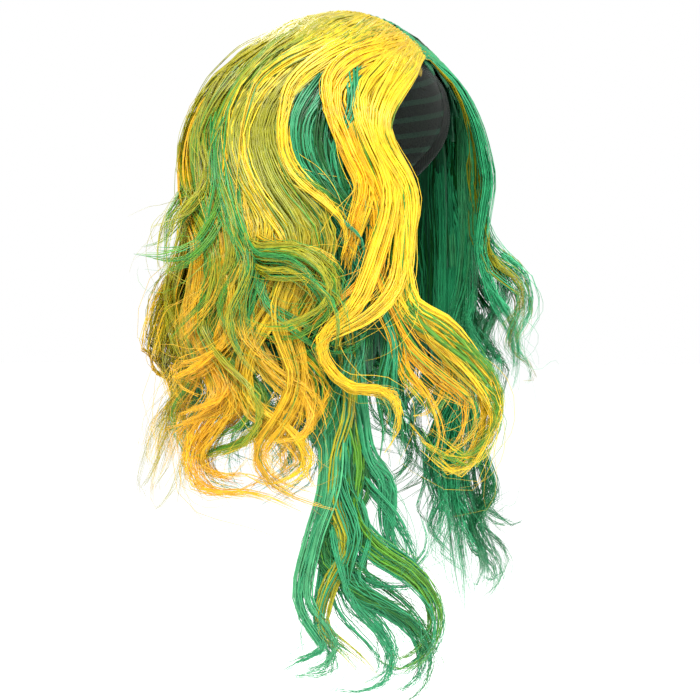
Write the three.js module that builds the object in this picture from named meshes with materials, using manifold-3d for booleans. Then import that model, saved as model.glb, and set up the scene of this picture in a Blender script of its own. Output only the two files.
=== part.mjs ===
// A long wavy two-colour wig as it sits on a head: a stretch cap with a bound edge, green under hair with
// long tails, and parted top hair, yellow on the wearer's right and green on the left, in curled locks.
// Millimetres. +Z is up, the wearer faces -Y, +X is the wearer's left. The origin is the point under the
// crown of the cap that rests on the top of the head.

import * as THREE from "three";
import { mergeVertices } from "three/addons/utils/BufferGeometryUtils.js";
import Module from "manifold-3d";

// Head that the cap is cut for
const HEAD_HALF_WIDTH = 76;
const HEAD_HALF_DEPTH = 96;
const CROWN_RISE = 100; // from the widest level of the head up to its crown
const HAIRLINE_DEPTH = 36; // below the crown, in front
const NAPE_DEPTH = 150; // below the crown, at the back

// Cap
const CAP_WALL = 1.6;
const BAND_WIDTH = 9;
const GAP = 0.4; // between neighbouring pieces

// Hair
const DROP = 480; // from the crown down to the longest tips
const LOFT = 30; // how far the styled waves stand off the head
const UNDER_COAT = 3.5; // thickness of the under hair where it lies flat on the cap
const TOP_COAT = 5; // thickness of the combed top hair
const RIPPLE = 2; // how much thicker it is on the crest of a ripple
const COAT_SETBACK = 3; // how far the hair's front edge stays behind the cap's edge
const SKIRT = 14; // how far the top hair lies flat past the cap's edge at the sides and back
const WAVE_LENGTH = 92; // from one crest to the next in the hanging hair
const UNDER_LOCK_THICKNESS = 7;
const TOP_LOCK_THICKNESS = 8;

// Fineness of the faces
const LOCK_SIDES = 4;
const FACES_PER_BEND = 1.5;
const SNAP = 0.03; // corners nearer than this after a cut become one, in mm
const COLUMN = 15; // degrees round the head
const CAP_ROWS = 6;

// Middle of each coat of hair, measured out from the head
const UNDER_INNER = CAP_WALL + GAP;
const UNDER_OUTER = UNDER_INNER + UNDER_COAT;
const TOP_INNER = UNDER_OUTER + GAP;
const TOP_OUTER = TOP_INNER + TOP_COAT;
const UNDER_MIDDLE = (UNDER_INNER + UNDER_OUTER) / 2;
const TOP_MIDDLE = (TOP_INNER + TOP_OUTER) / 2;

// Depth of the cap's edge round the head. turn: degrees from the face, share: from hairline to nape depth.
const EDGE = [
  { turn: 0, share: 0.0 },
  { turn: 35, share: 0.16 },
  { turn: 60, share: 0.42 },
  { turn: 85, share: 0.64 },
  { turn: 115, share: 0.78 },
  { turn: 180, share: 1.0 },
];

// Top hair of the wearer's right side. Each bend is [turn, drop, lift]: degrees round the head from the
// face, hundredths of DROP below the crown, and share of LOFT off the combed hair. width is in mm.
const FRONT_RIGHT = [
  { width: 20, bends: [[-25, 9, 0], [-38, 15.5, 0.15], [-39, 19.5, 0.25], [-31, 26.5, 0.3]] },
  { width: 26, bends: [[-33, 10.5, 0], [-41, 19, 0.2], [-32, 26, 0.25], [-32, 34.5, 0.35],
    [-31, 40.5, 0.35], [-24, 43.5, 0.15], [-10, 47, 0.05], [-4, 52, 0.05], [-13, 57, -0.05], [-24, 58, -0.1]] },
  { width: 24, bends: [[-32, 34, 0.35], [-33, 39.5, 0.5], [-43, 44, 0.75], [-60, 48, 0.95], [-58, 51, 0.85]] },
  { width: 20, bends: [[-45, 12, 0], [-46, 17, 0.15], [-38, 24, 0.3], [-35, 29, 0.35], [-40, 35.5, 0.45],
    [-48, 42.5, 0.7], [-59, 47.5, 0.85], [-51, 53.5, 0.8], [-37, 54.5, 0.75], [-35, 59, 0.75],
    [-45, 65, 0.75]] },
  { width: 22, bends: [[-29, 41, 0.3], [-14, 46, 0.25], [0, 50, 0.35], [10, 54.5, 0.7], [9, 58, 0.75],
    [-4, 63, 0.45], [-18, 61, 0.15]] },
  { width: 26, bends: [[-58, 13, 0], [-57, 16, 0.15], [-51, 21, 0.25], [-46, 26, 0.35], [-49, 31.5, 0.35],
    [-52, 37, 0.35]] },
  { width: 26, bends: [[-68, 13, 0], [-73, 17.5, 0.2], [-68, 23, 0.3], [-57, 28, 0.4], [-50, 31, 0.38]] },
];

const SIDE_RIGHT = [
  { width: 20, bends: [[-92, 16, 0.1], [-91, 26, 0.35], [-85, 33, 0.55], [-72, 35, 0.75], [-57, 36.5, 0.9],
    [-53, 39.5, 0.85]] },
  { width: 20, bends: [[-99, 20, 0.1], [-94, 28, 0.45], [-82, 36.5, 0.8], [-67, 38.5, 0.75],
    [-59, 42.5, 0.45], [-63, 48.5, 0.3]] },
  { width: 22, bends: [[-106, 23, 0.1], [-96, 30.5, 0.6], [-83, 39, 0.85], [-88, 45, 0.9], [-84, 49.5, 0.85],
    [-73, 53, 0.75]] },
  { width: 30, bends: [[-98, 9, 0], [-104, 14, 0.2], [-106, 20.5, 0.35], [-94, 31, 0.65], [-92, 36, 0.7],
    [-97, 42.5, 0.7], [-88, 50.5, 0.75]] },
  { width: 28, bends: [[-84, 12, 0], [-83, 18, 0.2], [-82, 27, 0.4], [-88, 39.5, 0.55], [-86, 46.5, 0.65],
    [-75, 52, 0.75], [-62, 56, 0.85], [-63, 60.5, 0.85], [-73, 61.5, 0.9], [-84, 60, 0.9]] },
  { width: 32, bends: [[-96, 22, 0.1], [-100, 32, 0.5], [-92, 42, 0.5], [-97, 50, 0.6], [-90, 57, 0.7],
    [-96, 63, 0.75], [-90, 67, 0.7]] },
  { width: 26, bends: [[-80, 20, 0.1], [-76, 30, 0.4], [-72, 42, 0.55], [-66, 52, 0.75], [-71, 57.5, 0.85],
    [-80, 62.5, 0.95], [-74, 67, 0.95], [-60, 69, 0.95], [-50, 69.5, 0.95]] },
];

const BACK_RIGHT = [
  { width: 32, bends: [[-141, 11, 0.1], [-139, 18.5, 0.5], [-128, 24.5, 0.55], [-110, 32.5, 0.75],
    [-104, 39, 0.8], [-108, 45, 0.8], [-98, 51.5, 0.8], [-92, 56, 0.8], [-94, 60.5, 0.85],
    [-105, 63.5, 0.95], [-98, 67.5, 0.9], [-84, 70.5, 0.85]] },
  { width: 14, bends: [[-144, 16, 0.35], [-142, 20, 0.55], [-127, 25, 0.7], [-119, 30, 1.25],
    [-115, 36.5, 1.5], [-107, 39, 1.35]] },
  { width: 12, bends: [[-121, 26, 0.55], [-110, 29, 0.7], [-106, 33.5, 1.1], [-112, 36.5, 1.45],
    [-123, 35.5, 1.9]] },
  { width: 12, bends: [[-130, 22, 0.5], [-118, 26, 0.8], [-118, 30.5, 1.5], [-124, 31.5, 1.9]] },
  { width: 22, bends: [[-121, 27, 0.4], [-110, 35, 0.75], [-104, 41, 0.9], [-107, 45, 1.1],
    [-111, 47.5, 1.35], [-101, 50.5, 1.25]] },
  { width: 24, bends: [[-128, 28, 0.35], [-116, 37, 0.7], [-108, 45, 0.8], [-104, 52, 1.0], [-111, 57, 1.3],
    [-104, 61.5, 1.25]] },
  { width: 28, bends: [[-134, 40, 0.4], [-124, 47, 0.6], [-110, 55, 0.9], [-114, 62.5, 1.1],
    [-106, 67.5, 1.1]] },
];

// Green top hair beside the face on the wearer's left, in the same terms
const FRONT_LEFT = [
  { width: 18, bends: [[14, 6.5, 0], [22, 9.5, 0.05], [32, 13, 0.1], [36, 19, 0.25], [37, 23.5, 0.4],
    [35, 29, 0.25], [33, 34, 0.15], [37, 40, 0.45], [43, 46, 1.1], [44, 51, 1.15], [40, 54.5, 0.9]] },
  { width: 14, bends: [[35, 11, 0], [40, 17.5, 0.15], [43, 23.5, 0.25], [39, 31, 0.25], [38, 34.5, 0.55],
    [45, 38, 1.35], [46, 42.5, 1.5], [43, 47, 1.05], [47, 50, 1.5], [47, 53.5, 1.7]] },
  { width: 20, bends: [[45, 11.5, 0], [54, 21.5, 0.25], [50, 31, 0.15], [43, 39.5, -0.1],
    [41, 44.5, -0.3], [42, 48.5, 0.05], [45, 51, 0.7], [47, 51, 1.1], [46, 49, 1.15]] },
  { width: 28, bends: [[62, 14, 0], [66, 24, 0.2], [60, 36, 0.4], [65, 46, 0.6], [58, 56, 0.7],
    [63, 65, 0.8], [58, 70, 0.8]] },
];

// Long green tails of the under hair, in the same terms
const TAILS_RIGHT = [
  { width: 34, bends: [[-66, 46, 0.2], [-58, 51.5, 0.15], [-58, 56.5, 0.15], [-54, 61.5, 0.25],
    [-50, 66.5, 0.35], [-53, 71, 0.45], [-61, 74, 0.55], [-56, 79, 0.7], [-44, 82.5, 0.75],
    [-31, 85, 0.75], [-24, 88.5, 0.75], [-23, 91.5, 0.7], [-29, 94, 0.65]] },
  { width: 28, bends: [[-54, 61, 0.2], [-54, 67, 0.3], [-56, 72.5, 0.4], [-54, 78, 0.5],
    [-50, 83.5, 0.55], [-41, 87.5, 0.65], [-36, 91, 0.7], [-39, 94, 0.7], [-50, 95, 0.7], [-60, 94, 0.75]] },
  { width: 14, bends: [[-57, 70, 0.4], [-58, 74, 0.45], [-61, 80, 0.65], [-62, 86.5, 0.75],
    [-56, 91.5, 0.75], [-64, 93, 0.9], [-77, 92.5, 1.05]] },
  { width: 12, bends: [[-54, 60, 0.2], [-50, 63, 0.25], [-45, 66.5, 0.3], [-34, 71, 0.45],
    [-28, 76.5, 0.55], [-31, 80, 0.55], [-38, 81.5, 0.5]] },
];

const TAILS_LEFT = [
  { width: 34, bends: [[64, 44, 0.2], [54, 54, 0], [47, 62, -0.25], [43, 69, -0.3], [46, 76, -0.1],
    [50, 82, 0.1], [47, 87, 0.2], [52, 91, 0.4]] },
  { width: 28, bends: [[60, 46, 0.2], [53, 56, 0.3], [48, 64, 0.4], [52, 72, 0.5], [48, 80, 0.6], [52, 88, 0.7]] },
  { width: 28, bends: [[54, 54, 0], [45, 61, -0.6], [40, 69, -0.9], [43, 77, -0.7], [47, 84, -0.4]] },
  { width: 14, bends: [[47, 60, -0.2], [50, 68, 0.1], [52, 72, 0.6], [50, 74.5, 1.2], [46, 73.5, 1.7]] },
  { width: 12, bends: [[44, 69, -0.25], [50, 76, 0.3], [54, 80, 0.8], [50, 84, 0.7], [46, 82, 0.3]] },
];

const wasm = await Module();
wasm.setup();

const radians = THREE.MathUtils.degToRad;

// A point at a turn round the head and a depth below the crown, out from the head's skin by so much.
function place(turn, depth, out) {
  const rise = Math.max(0, CROWN_RISE - depth);
  const girth = Math.sqrt(1 - (rise / CROWN_RISE) ** 2);
  const x = HEAD_HALF_WIDTH * girth * Math.sin(radians(turn));
  const y = -HEAD_HALF_DEPTH * girth * Math.cos(radians(turn));
  const outward = new THREE.Vector3(x / HEAD_HALF_WIDTH ** 2, y / HEAD_HALF_DEPTH ** 2, rise / CROWN_RISE ** 2);
  return new THREE.Vector3(x, y, -depth).addScaledVector(outward.normalize(), out);
}

// Depth of the cap's edge at a turn, eased between the rows of EDGE.
function edgeDepth(turn) {
  const angle = Math.abs(turn);
  const next = Math.max(1, EDGE.findIndex((row) => row.turn >= angle));
  const [low, high] = [EDGE[next - 1], EDGE[next]];
  const share = THREE.MathUtils.mapLinear(angle, low.turn, high.turn, low.share, high.share);
  return HAIRLINE_DEPTH + (NAPE_DEPTH - HAIRLINE_DEPTH) * share;
}

// Moves each vertex of a three.js geometry by a function of its place and uv, and joins what then coincides.
function reshape(geometry, move) {
  const { position, uv } = geometry.attributes;
  for (let i = 0; i < position.count; i++) {
    const moved = move(new THREE.Vector3().fromBufferAttribute(position, i), uv.getX(i), uv.getY(i));
    position.setXYZ(i, moved.x, moved.y, moved.z);
  }
  geometry.deleteAttribute("normal");
  geometry.deleteAttribute("uv");
  return mergeVertices(geometry, 1e-3);
}

// A solid of a closed geometry, without the triangles that have shrunk to a line.
function solid(geometry) {
  const kept = [];
  const corners = geometry.index.array;
  for (let i = 0; i < corners.length; i += 3) {
    const [a, b, c] = corners.slice(i, i + 3);
    if (a !== b && b !== c && c !== a) kept.push(a, b, c);
  }
  return new wasm.Manifold(
    new wasm.Mesh({
      numProp: 3,
      vertProperties: geometry.attributes.position.array,
      triVerts: new Uint32Array(kept),
    }),
  );
}

// The same solid with the tiny edges that cuts leave drawn together.
function snapped(body) {
  const { vertProperties, triVerts } = body.getMesh();
  const geometry = new THREE.BufferGeometry()
    .setAttribute("position", new THREE.BufferAttribute(vertProperties, 3))
    .setIndex(new THREE.BufferAttribute(triVerts, 1));
  return solid(mergeVertices(geometry, SNAP));
}

// The same solid with the pockets that its locks close off between them filled.
function filled(body) {
  const shells = body.decompose().filter((shell) => shell.volume() > 0);
  return shells.reduce((all, shell) => all.add(shell));
}

// Depths of the rows of faces at a turn, shared by all that lies on the head so that their faces stay
// parallel: the cap's rows from the crown down, the band, the front edge of the hair, and the skirt.
const CAP_END = CAP_ROWS;
const BAND_TOP = CAP_ROWS + 1;
const HAIR_EDGE = CAP_ROWS + 2;
const BAND_END = CAP_ROWS + 3;
const SKIRT_END = CAP_ROWS + 4;
function rowDepth(turn, row) {
  const edge = edgeDepth(turn);
  if (row <= CAP_END) return (edge - BAND_WIDTH - GAP) * (row / CAP_ROWS) ** 2;
  return edge + { [BAND_TOP]: -BAND_WIDTH, [HAIR_EDGE]: -COAT_SETBACK, [BAND_END]: 0, [SKIRT_END]: SKIRT }[row];
}

// A wall right round the head between two rows, and so much lower; from row 0 it is a dome.
function ringSolid(topRow, bottomRow, inner, outer, lower = 0) {
  const down = Array.from({ length: bottomRow - topRow + 1 }, (_, i) => [topRow + i, inner]);
  const up = down.map(([row]) => [row, outer]).reverse();
  const section = topRow === 0 ? [...down, ...up] : [...down, ...up, down[0]];
  const line = section.map(() => new THREE.Vector2(1, 0));
  return solid(
    reshape(new THREE.LatheGeometry(line, 360 / COLUMN), (_, u, v) => {
      const turn = 360 * u - 180;
      const [row, out] = section[Math.round(v * (section.length - 1))];
      return place(turn, rowDepth(turn, row) + (row === bottomRow ? lower : 0), out);
    }),
  );
}

// Below the skirt a coat can fall free: in so many rows down to a drop, lifting off the head and fluted in waves.
function fallPoint(turn, fall, share, row) {
  const wave = Math.cos(radians(12 * turn + 180 * row)); // turns over at each column
  const bottom = (DROP * (fall.drop + RAGGED * Math.cos(radians(12 * turn)))) / 100;
  return {
    depth: THREE.MathUtils.lerp(edgeDepth(turn) + SKIRT, bottom, share),
    extra: (LOFT * fall.lift + fall.flute * wave) * share,
  };
}

// How far the outside of the top hair swells between two columns, from nothing at the crown.
const swell = (turn, share) => (RIPPLE / 2) * (1 + Math.cos(radians(12 * turn))) * share;

// A coat of hair lying on part of the head, between two turns and from one row to another, grown by spare.
function coatSolid({ from, to, inner, outer, topRow, bottomRow, fall, rippled }, spare = 0) {
  const rows = bottomRow - topRow + (fall ? fall.rows : 0);
  const box = new THREE.BoxGeometry(1, 1, 1, Math.round((to - from) / COLUMN), rows, 1);
  const seam = spare > 0 ? 0 : SEAM;
  return solid(
    reshape(box, (point) => {
      const inset = Math.abs(point.x) > 0.49 ? seam * Math.sign(point.x) : 0;
      const turn = THREE.MathUtils.lerp(from, to, point.x + 0.5) - inset;
      const step = Math.round(rows * (0.5 - point.y));
      const row = topRow + step;
      const { depth, extra } =
        row > bottomRow
          ? fallPoint(turn, fall, (row - bottomRow) / fall.rows, row)
          : { depth: rowDepth(turn, row), extra: 0 };
      const proud = rippled ? swell(turn, Math.min(1, step / HAIR_EDGE)) : 0;
      const out = point.z > 0 ? outer + proud + spare : inner - spare;
      return place(turn, depth + (step === rows ? spare : 0), extra + out);
    }),
  );
}

// The path of a lock: a smooth curve through its bends, laid round the head.
function lockPath(bends, middle) {
  const curve = new THREE.CatmullRomCurve3(bends.map((bend) => new THREE.Vector3(...bend)), false, "catmullrom", 0.5);
  return (share) => {
    const { x: turn, y: drop, z: lift } = curve.getPoint(THREE.MathUtils.clamp(share, 0, 1));
    return { turn, depth: (drop / 100) * DROP, out: middle + lift * LOFT };
  };
}

// A lock of hair: a flattened round bar bent along its path, broad side to the head, thin at the tip.
function lockSolid({ width, bends }, { middle, thickness }, spare = 0) {
  const path = lockPath(bends, middle);
  const steps = Math.round((bends.length - 1) * FACES_PER_BEND);
  const at = (share) => {
    const { turn, depth, out } = path(share);
    return place(turn, depth, out);
  };
  const frames = [];
  for (let step = 0; step <= steps; step++) {
    const share = step / steps;
    const { turn, depth, out } = path(share);
    const centre = at(share);
    const along = at(share + 0.02).sub(at(share - 0.02)).normalize();
    const off = place(turn, depth, out + 1).sub(centre);
    const across = off.clone().cross(along).normalize();
    off.crossVectors(along, across).normalize();
    const end = step === 0 ? -1 : step === steps ? 1 : 0;
    frames.push({ centre: centre.addScaledVector(along, end * spare), across, off, size: 1 - 0.75 * share ** 4 });
  }
  const bar = new THREE.CylinderGeometry(1, 1, 1, LOCK_SIDES, steps);
  return solid(
    reshape(bar, (point) => {
      const { centre, across, off, size } = frames[Math.round((0.5 - point.y) * steps)];
      return centre
        .clone()
        .addScaledVector(across, point.x * ((width / 2) * size + spare))
        .addScaledVector(off, point.z * ((thickness / 2) * size + spare));
    }),
  );
}

// Bends of a plain wavy lock, which starts in the falling coat; its waves widen on the way down.
function wavyBends({ turn, root, end, sway, lift, start }) {
  const halfWaves = Math.round((((end - root) / 100) * DROP) / (WAVE_LENGTH / 2));
  return Array.from({ length: halfWaves + 1 }, (_, bend) => {
    const share = bend / halfWaves;
    const side = bend === 0 ? 0 : (bend + start) % 2 ? 1 : -1;
    return [
      turn + side * sway * (0.5 + 0.5 * share),
      THREE.MathUtils.lerp(root, end, share),
      THREE.MathUtils.lerp(lift[0], lift[1], share),
    ];
  });
}

const UNDER = { middle: UNDER_MIDDLE, thickness: UNDER_LOCK_THICKNESS };
const TOP = { middle: TOP_MIDDLE, thickness: TOP_LOCK_THICKNESS };

// How the two layers fall free: drop, lift and flute (mm) of the bottom edge, and the plain locks that go
// on from it, with lift at the root and at the tip. Every other lock ends a little higher.
const UNDER_FALL = { rows: 3, drop: 57, lift: 0.25, flute: 1.5 };
const TOP_FALL = { rows: 3, drop: 48, lift: 0.6, flute: 4 };
const UNDER_PLAIN = { root: 48, end: 64, sway: 4, lift: [0.2, 0.35], width: 26 };
const TOP_PLAIN = { root: 38, end: 70, sway: 5, lift: [0.45, 0.85], width: 30 };
const RAGGED = 4; // how much the bottom edge rises and dips, in hundredths of DROP
const STAGGER = 4;
function plainLocks(side, turns, { root, end, sway, lift, width }) {
  return turns.map((turn, index) => ({
    width,
    bends: wavyBends({ turn: side * turn, root, end: end - STAGGER * (index % 2), sway, lift, start: index }),
  }));
}

// Everything past the parting for one side: above the brow, and all of the back.
function beyondParting(side) {
  const reach = 4 * HEAD_HALF_DEPTH;
  const x = -side * (reach / 2 - GAP / 2);
  const still = (point) => point;
  const brow = new THREE.BoxGeometry(reach, 2 * reach, 2 * HAIRLINE_DEPTH).translate(x, 0, 0);
  const back = new THREE.BoxGeometry(reach, reach, 3 * DROP).translate(x, reach / 2, 0);
  return solid(reshape(brow, still)).add(solid(reshape(back, still)));
}

// One body of hair: a coat and its locks joined, cut clear of what lies under it, of the parting and of
// the bodies of hair made before it. Comes with the same body grown by the gap.
function hairBody({ name, coat, locks, layer, side, under, taken }) {
  let body = coatSolid(coat);
  let grown = coatSolid(coat, GAP);
  for (const lock of locks) {
    body = body.add(lockSolid(lock, layer));
    grown = grown.add(lockSolid(lock, layer, 1.5 * GAP));
  }
  for (const other of [under, beyondParting(side), ...taken]) body = body.subtract(other);
  return { name, body: filled(snapped(body)), grown };
}

// Turns at which one body of top hair ends and the next begins, and where the under hair begins
const FRONT_END = 75;
const SIDE_END = 120;
const UNDER_START = { [-1]: 45, 1: 60 }; // right, left
const SEAM = 0.3; // what a coat stays back from such a turn, in degrees

const CORE = -15; // how deep the space kept clear under a coat reaches
const overCap = ringSolid(0, BAND_END, CORE, UNDER_INNER, 2 * GAP);
const overUnder = ringSolid(0, SKIRT_END, CORE, TOP_INNER, 2 * GAP);

function topHair(name, side, [from, to], { locks, fall, taken }) {
  const [low, high] = side < 0 ? [-to, -from] : [from, to];
  const bottomRow = from === 0 ? HAIR_EDGE : SKIRT_END;
  return hairBody({
    name,
    coat: { from: low, to: high, inner: TOP_INNER, outer: TOP_OUTER, topRow: 0, bottomRow, fall, rippled: true },
    locks, layer: TOP, side, under: overUnder, taken,
  });
}

function underHair(name, side, tails, taken) {
  const [low, high] = side < 0 ? [-180, -UNDER_START[side]] : [UNDER_START[side], 180];
  return hairBody({
    name,
    coat: {
      from: low, to: high, inner: UNDER_INNER, outer: UNDER_OUTER, topRow: 3, bottomRow: SKIRT_END, fall: UNDER_FALL,
    },
    locks: [...plainLocks(side, [90, 122, 155], UNDER_PLAIN), ...tails],
    layer: UNDER, side, under: overCap, taken,
  });
}

const FRONT = [0, FRONT_END];
const SIDE = [FRONT_END, SIDE_END];
const BACK = [SIDE_END, 180];
const frontRight = topHair("front_hair_right", -1, FRONT, { locks: FRONT_RIGHT, taken: [] });
const sideRight = topHair("side_hair_right", -1, SIDE, { locks: SIDE_RIGHT, taken: [frontRight.grown] });
const backRight = topHair("back_hair_right", -1, BACK, {
  locks: [...BACK_RIGHT, ...plainLocks(-1, [151, 167], TOP_PLAIN)],
  fall: TOP_FALL,
  taken: [frontRight.grown, sideRight.grown],
});
const frontLeft = topHair("front_hair_left", 1, FRONT, { locks: FRONT_LEFT, taken: [frontRight.grown] });
const sideLeft = topHair("side_hair_left", 1, SIDE, {
  locks: plainLocks(1, [85, 106], TOP_PLAIN), fall: TOP_FALL, taken: [frontLeft.grown],
});
const backLeft = topHair("back_hair_left", 1, BACK, {
  locks: plainLocks(1, [131, 149, 167], TOP_PLAIN), fall: TOP_FALL, taken: [frontLeft.grown, sideLeft.grown],
});

const rightTop = [frontRight, sideRight, backRight];
const leftTop = [frontLeft, sideLeft, backLeft];
const allTop = [...rightTop, ...leftTop].map((piece) => piece.grown);
const underRight = underHair("under_hair_right", -1, TAILS_RIGHT, allTop);
const underLeft = underHair("under_hair_left", 1, TAILS_LEFT, allTop);

function meshOf(name, body, colour, roughness) {
  const { vertProperties, triVerts } = body.getMesh();
  const geometry = new THREE.BufferGeometry()
    .setAttribute("position", new THREE.BufferAttribute(vertProperties, 3))
    .setIndex(new THREE.BufferAttribute(triVerts, 1));
  geometry.computeVertexNormals();
  const mesh = new THREE.Mesh(geometry, new THREE.MeshStandardMaterial({ color: colour, roughness, metalness: 0 }));
  mesh.name = name;
  return mesh;
}

const YELLOW = 0xe8b51e;
const GREEN = 0x2f9e6b;
const DEEP_GREEN = 0x1f7a4c;
const wig = new THREE.Group();
wig.add(meshOf("cap", ringSolid(0, CAP_END, 0, CAP_WALL), 0x17211c, 0.85));
wig.add(meshOf("edge_band", ringSolid(BAND_TOP, BAND_END, 0, CAP_WALL), 0x121815, 0.7));
for (const { name, body } of [underRight, underLeft]) wig.add(meshOf(name, body, DEEP_GREEN, 0.4));
for (const { name, body } of rightTop) wig.add(meshOf(name, body, YELLOW, 0.35));
for (const { name, body } of leftTop) wig.add(meshOf(name, body, GREEN, 0.35));

export default wig;
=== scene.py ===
import math

import bmesh
import bpy
import numpy as np
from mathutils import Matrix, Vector


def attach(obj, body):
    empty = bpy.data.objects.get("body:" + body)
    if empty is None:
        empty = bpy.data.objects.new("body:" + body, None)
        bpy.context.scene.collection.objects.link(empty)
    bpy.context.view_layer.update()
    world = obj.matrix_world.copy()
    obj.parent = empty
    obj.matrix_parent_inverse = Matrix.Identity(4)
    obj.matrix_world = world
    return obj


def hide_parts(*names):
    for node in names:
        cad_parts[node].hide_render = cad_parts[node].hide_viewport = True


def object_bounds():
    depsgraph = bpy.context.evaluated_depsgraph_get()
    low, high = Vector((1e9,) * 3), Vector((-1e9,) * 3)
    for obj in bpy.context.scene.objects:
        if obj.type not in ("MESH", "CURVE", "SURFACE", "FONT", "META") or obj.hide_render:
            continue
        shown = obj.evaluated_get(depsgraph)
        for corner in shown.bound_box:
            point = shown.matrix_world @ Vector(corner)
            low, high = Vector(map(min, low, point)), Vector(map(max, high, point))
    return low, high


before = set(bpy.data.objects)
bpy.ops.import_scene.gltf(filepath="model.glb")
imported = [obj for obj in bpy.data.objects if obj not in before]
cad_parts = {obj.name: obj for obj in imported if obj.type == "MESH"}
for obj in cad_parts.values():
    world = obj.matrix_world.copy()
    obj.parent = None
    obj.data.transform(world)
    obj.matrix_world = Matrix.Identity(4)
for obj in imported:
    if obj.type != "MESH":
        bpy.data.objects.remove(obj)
cad_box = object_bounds()


# Camera. It stands level with the middle of the wig, in front and to the wearer's right, so that the yellow
# side and the front opening of the cap both show.
def put_in_scene(name, data):
    """An object of that name and data, linked into the scene."""
    thing = bpy.data.objects.new(name, data)
    bpy.context.scene.collection.objects.link(thing)
    return thing


camera_turn = math.radians(52)
camera_distance = 1.3
camera_aside = 0.0108
camera_height = -0.233
towards_camera = Vector((-math.sin(camera_turn), -math.cos(camera_turn), 0))
camera_right = Vector((math.cos(camera_turn), -math.sin(camera_turn), 0))
camera_data = bpy.data.cameras.new("camera")
camera_data.lens = 92.86
camera_data.sensor_width = 36
camera = put_in_scene("camera", camera_data)
camera.location = camera_distance * towards_camera + camera_aside * camera_right
camera.location.z += camera_height
camera.rotation_euler = (-towards_camera).to_track_quat("-Z", "Y").to_euler()
bpy.context.scene.camera = camera


# Cap. A stretch net dome that the hair is sewn to, cut high in front and deep at the nape. Rows of track are
# sewn round it, and they show on its inside through the front opening.
cap_half_width = 0.076  # inside the cap, at its widest level
cap_half_depth = 0.096
crown_rise = 0.100  # from the widest level up to the crown
hairline_depth = 0.036  # below the crown, in front
nape_depth = 0.150  # below the crown, at the back
cap_wall = 0.0016
band_width = 0.009
gap = 0.0004  # between neighbouring pieces
edge_turns = [0, 35, 60, 85, 115, 180]
edge_shares = [0, 0.16, 0.42, 0.64, 0.78, 1]


def edge_depth(turn):
    """Depth of the cap's edge below the crown at a turn round the cap, in degrees from the front."""
    return hairline_depth + (nape_depth - hairline_depth) * np.interp(np.abs(turn), edge_turns, edge_shares)


def place(turn, depth, out):
    """The point at a turn round the cap and a depth below the crown, so far out from the cap's inside."""
    turn, depth, out = np.broadcast_arrays(*(np.asarray(v, float) for v in (turn, depth, out)))
    rise = np.maximum(0, crown_rise - depth)
    girth = np.sqrt(np.clip(1 - (rise / crown_rise) ** 2, 0, 1))
    angle = np.radians(turn)
    x = cap_half_width * girth * np.sin(angle)
    y = -cap_half_depth * girth * np.cos(angle)
    outward = np.stack([x / cap_half_width**2, y / cap_half_depth**2, rise / crown_rise**2], -1)
    outward /= np.linalg.norm(outward, axis=-1, keepdims=True)
    return np.stack([x, y, -depth], -1) + outward * out[..., None]


def round_sheet(name, columns, rows, turn_of, depth_of, out_of, wall):
    """A sheet laid round the cap: a grid with u and v from 0 to 1 bent into place, closed up and given a wall
    inwards. Its uv map, named lie, holds u and v."""
    mesh_maker = bmesh.new()
    uv = mesh_maker.loops.layers.uv.new("lie")
    bmesh.ops.create_grid(mesh_maker, x_segments=columns, y_segments=rows, size=0.5, calc_uvs=False)
    for face in mesh_maker.faces:
        for loop in face.loops:
            loop[uv].uv = (loop.vert.co.x + 0.5, loop.vert.co.y + 0.5)
    for vert in mesh_maker.verts:
        u, v = vert.co.x + 0.5, vert.co.y + 0.5
        turn = turn_of(u)
        vert.co = Vector(place(turn, depth_of(turn, v), out_of(turn, v)))
    bmesh.ops.remove_doubles(mesh_maker, verts=mesh_maker.verts, dist=1e-6)
    bmesh.ops.recalc_face_normals(mesh_maker, faces=mesh_maker.faces)
    middle = max(mesh_maker.faces, key=lambda f: f.calc_center_median().z)
    if middle.normal.dot(middle.calc_center_median() + Vector((0, 0, 0.1))) < 0:
        bmesh.ops.reverse_faces(mesh_maker, faces=mesh_maker.faces)
    bmesh.ops.solidify(mesh_maker, geom=mesh_maker.faces, thickness=wall)
    mesh = bpy.data.meshes.new(name)
    mesh_maker.to_mesh(mesh)
    mesh_maker.free()
    mesh.shade_smooth()
    return put_in_scene(name, mesh)


def new_material(name, roughness, sheen=0.0):
    """A plain material with its nodes, its links and the inputs of its shader, to be given a pattern."""
    material = bpy.data.materials.new(name)
    material.use_nodes = True
    shader = material.node_tree.nodes["Principled BSDF"].inputs
    shader["Roughness"].default_value = roughness
    shader["Sheen Weight"].default_value = sheen
    return material, material.node_tree.nodes, material.node_tree.links, shader


def stretched_lie(nodes, links, stretch):
    """The uv map of a sheet, stretched by so much along u and v."""
    lie = nodes.new("ShaderNodeUVMap")
    lie.uv_map = "lie"
    mapping = nodes.new("ShaderNodeMapping")
    mapping.inputs["Scale"].default_value = (*stretch, 1)
    links.new(lie.outputs["UV"], mapping.inputs["Vector"])
    return mapping.outputs["Vector"]


def colour_between(nodes, links, value, first, second):
    """A colour that goes with a value from the first to the second, each given as a place and a colour."""
    ramp = nodes.new("ShaderNodeValToRGB")
    for end, (position, colour) in enumerate((first, second)):
        ramp.color_ramp.elements[end].position = position
        ramp.color_ramp.elements[end].color = (*colour, 1)
    links.new(value, ramp.inputs["Fac"])
    return ramp.outputs["Color"]


def add_relief(nodes, links, shader, height, strength, distance, invert=False):
    """Fine relief on a surface, in metres, that follows a height."""
    relief = nodes.new("ShaderNodeBump")
    relief.inputs["Strength"].default_value = strength
    relief.inputs["Distance"].default_value = distance
    relief.invert = invert
    links.new(height, relief.inputs["Height"])
    links.new(relief.outputs["Normal"], shader["Normal"])


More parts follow.
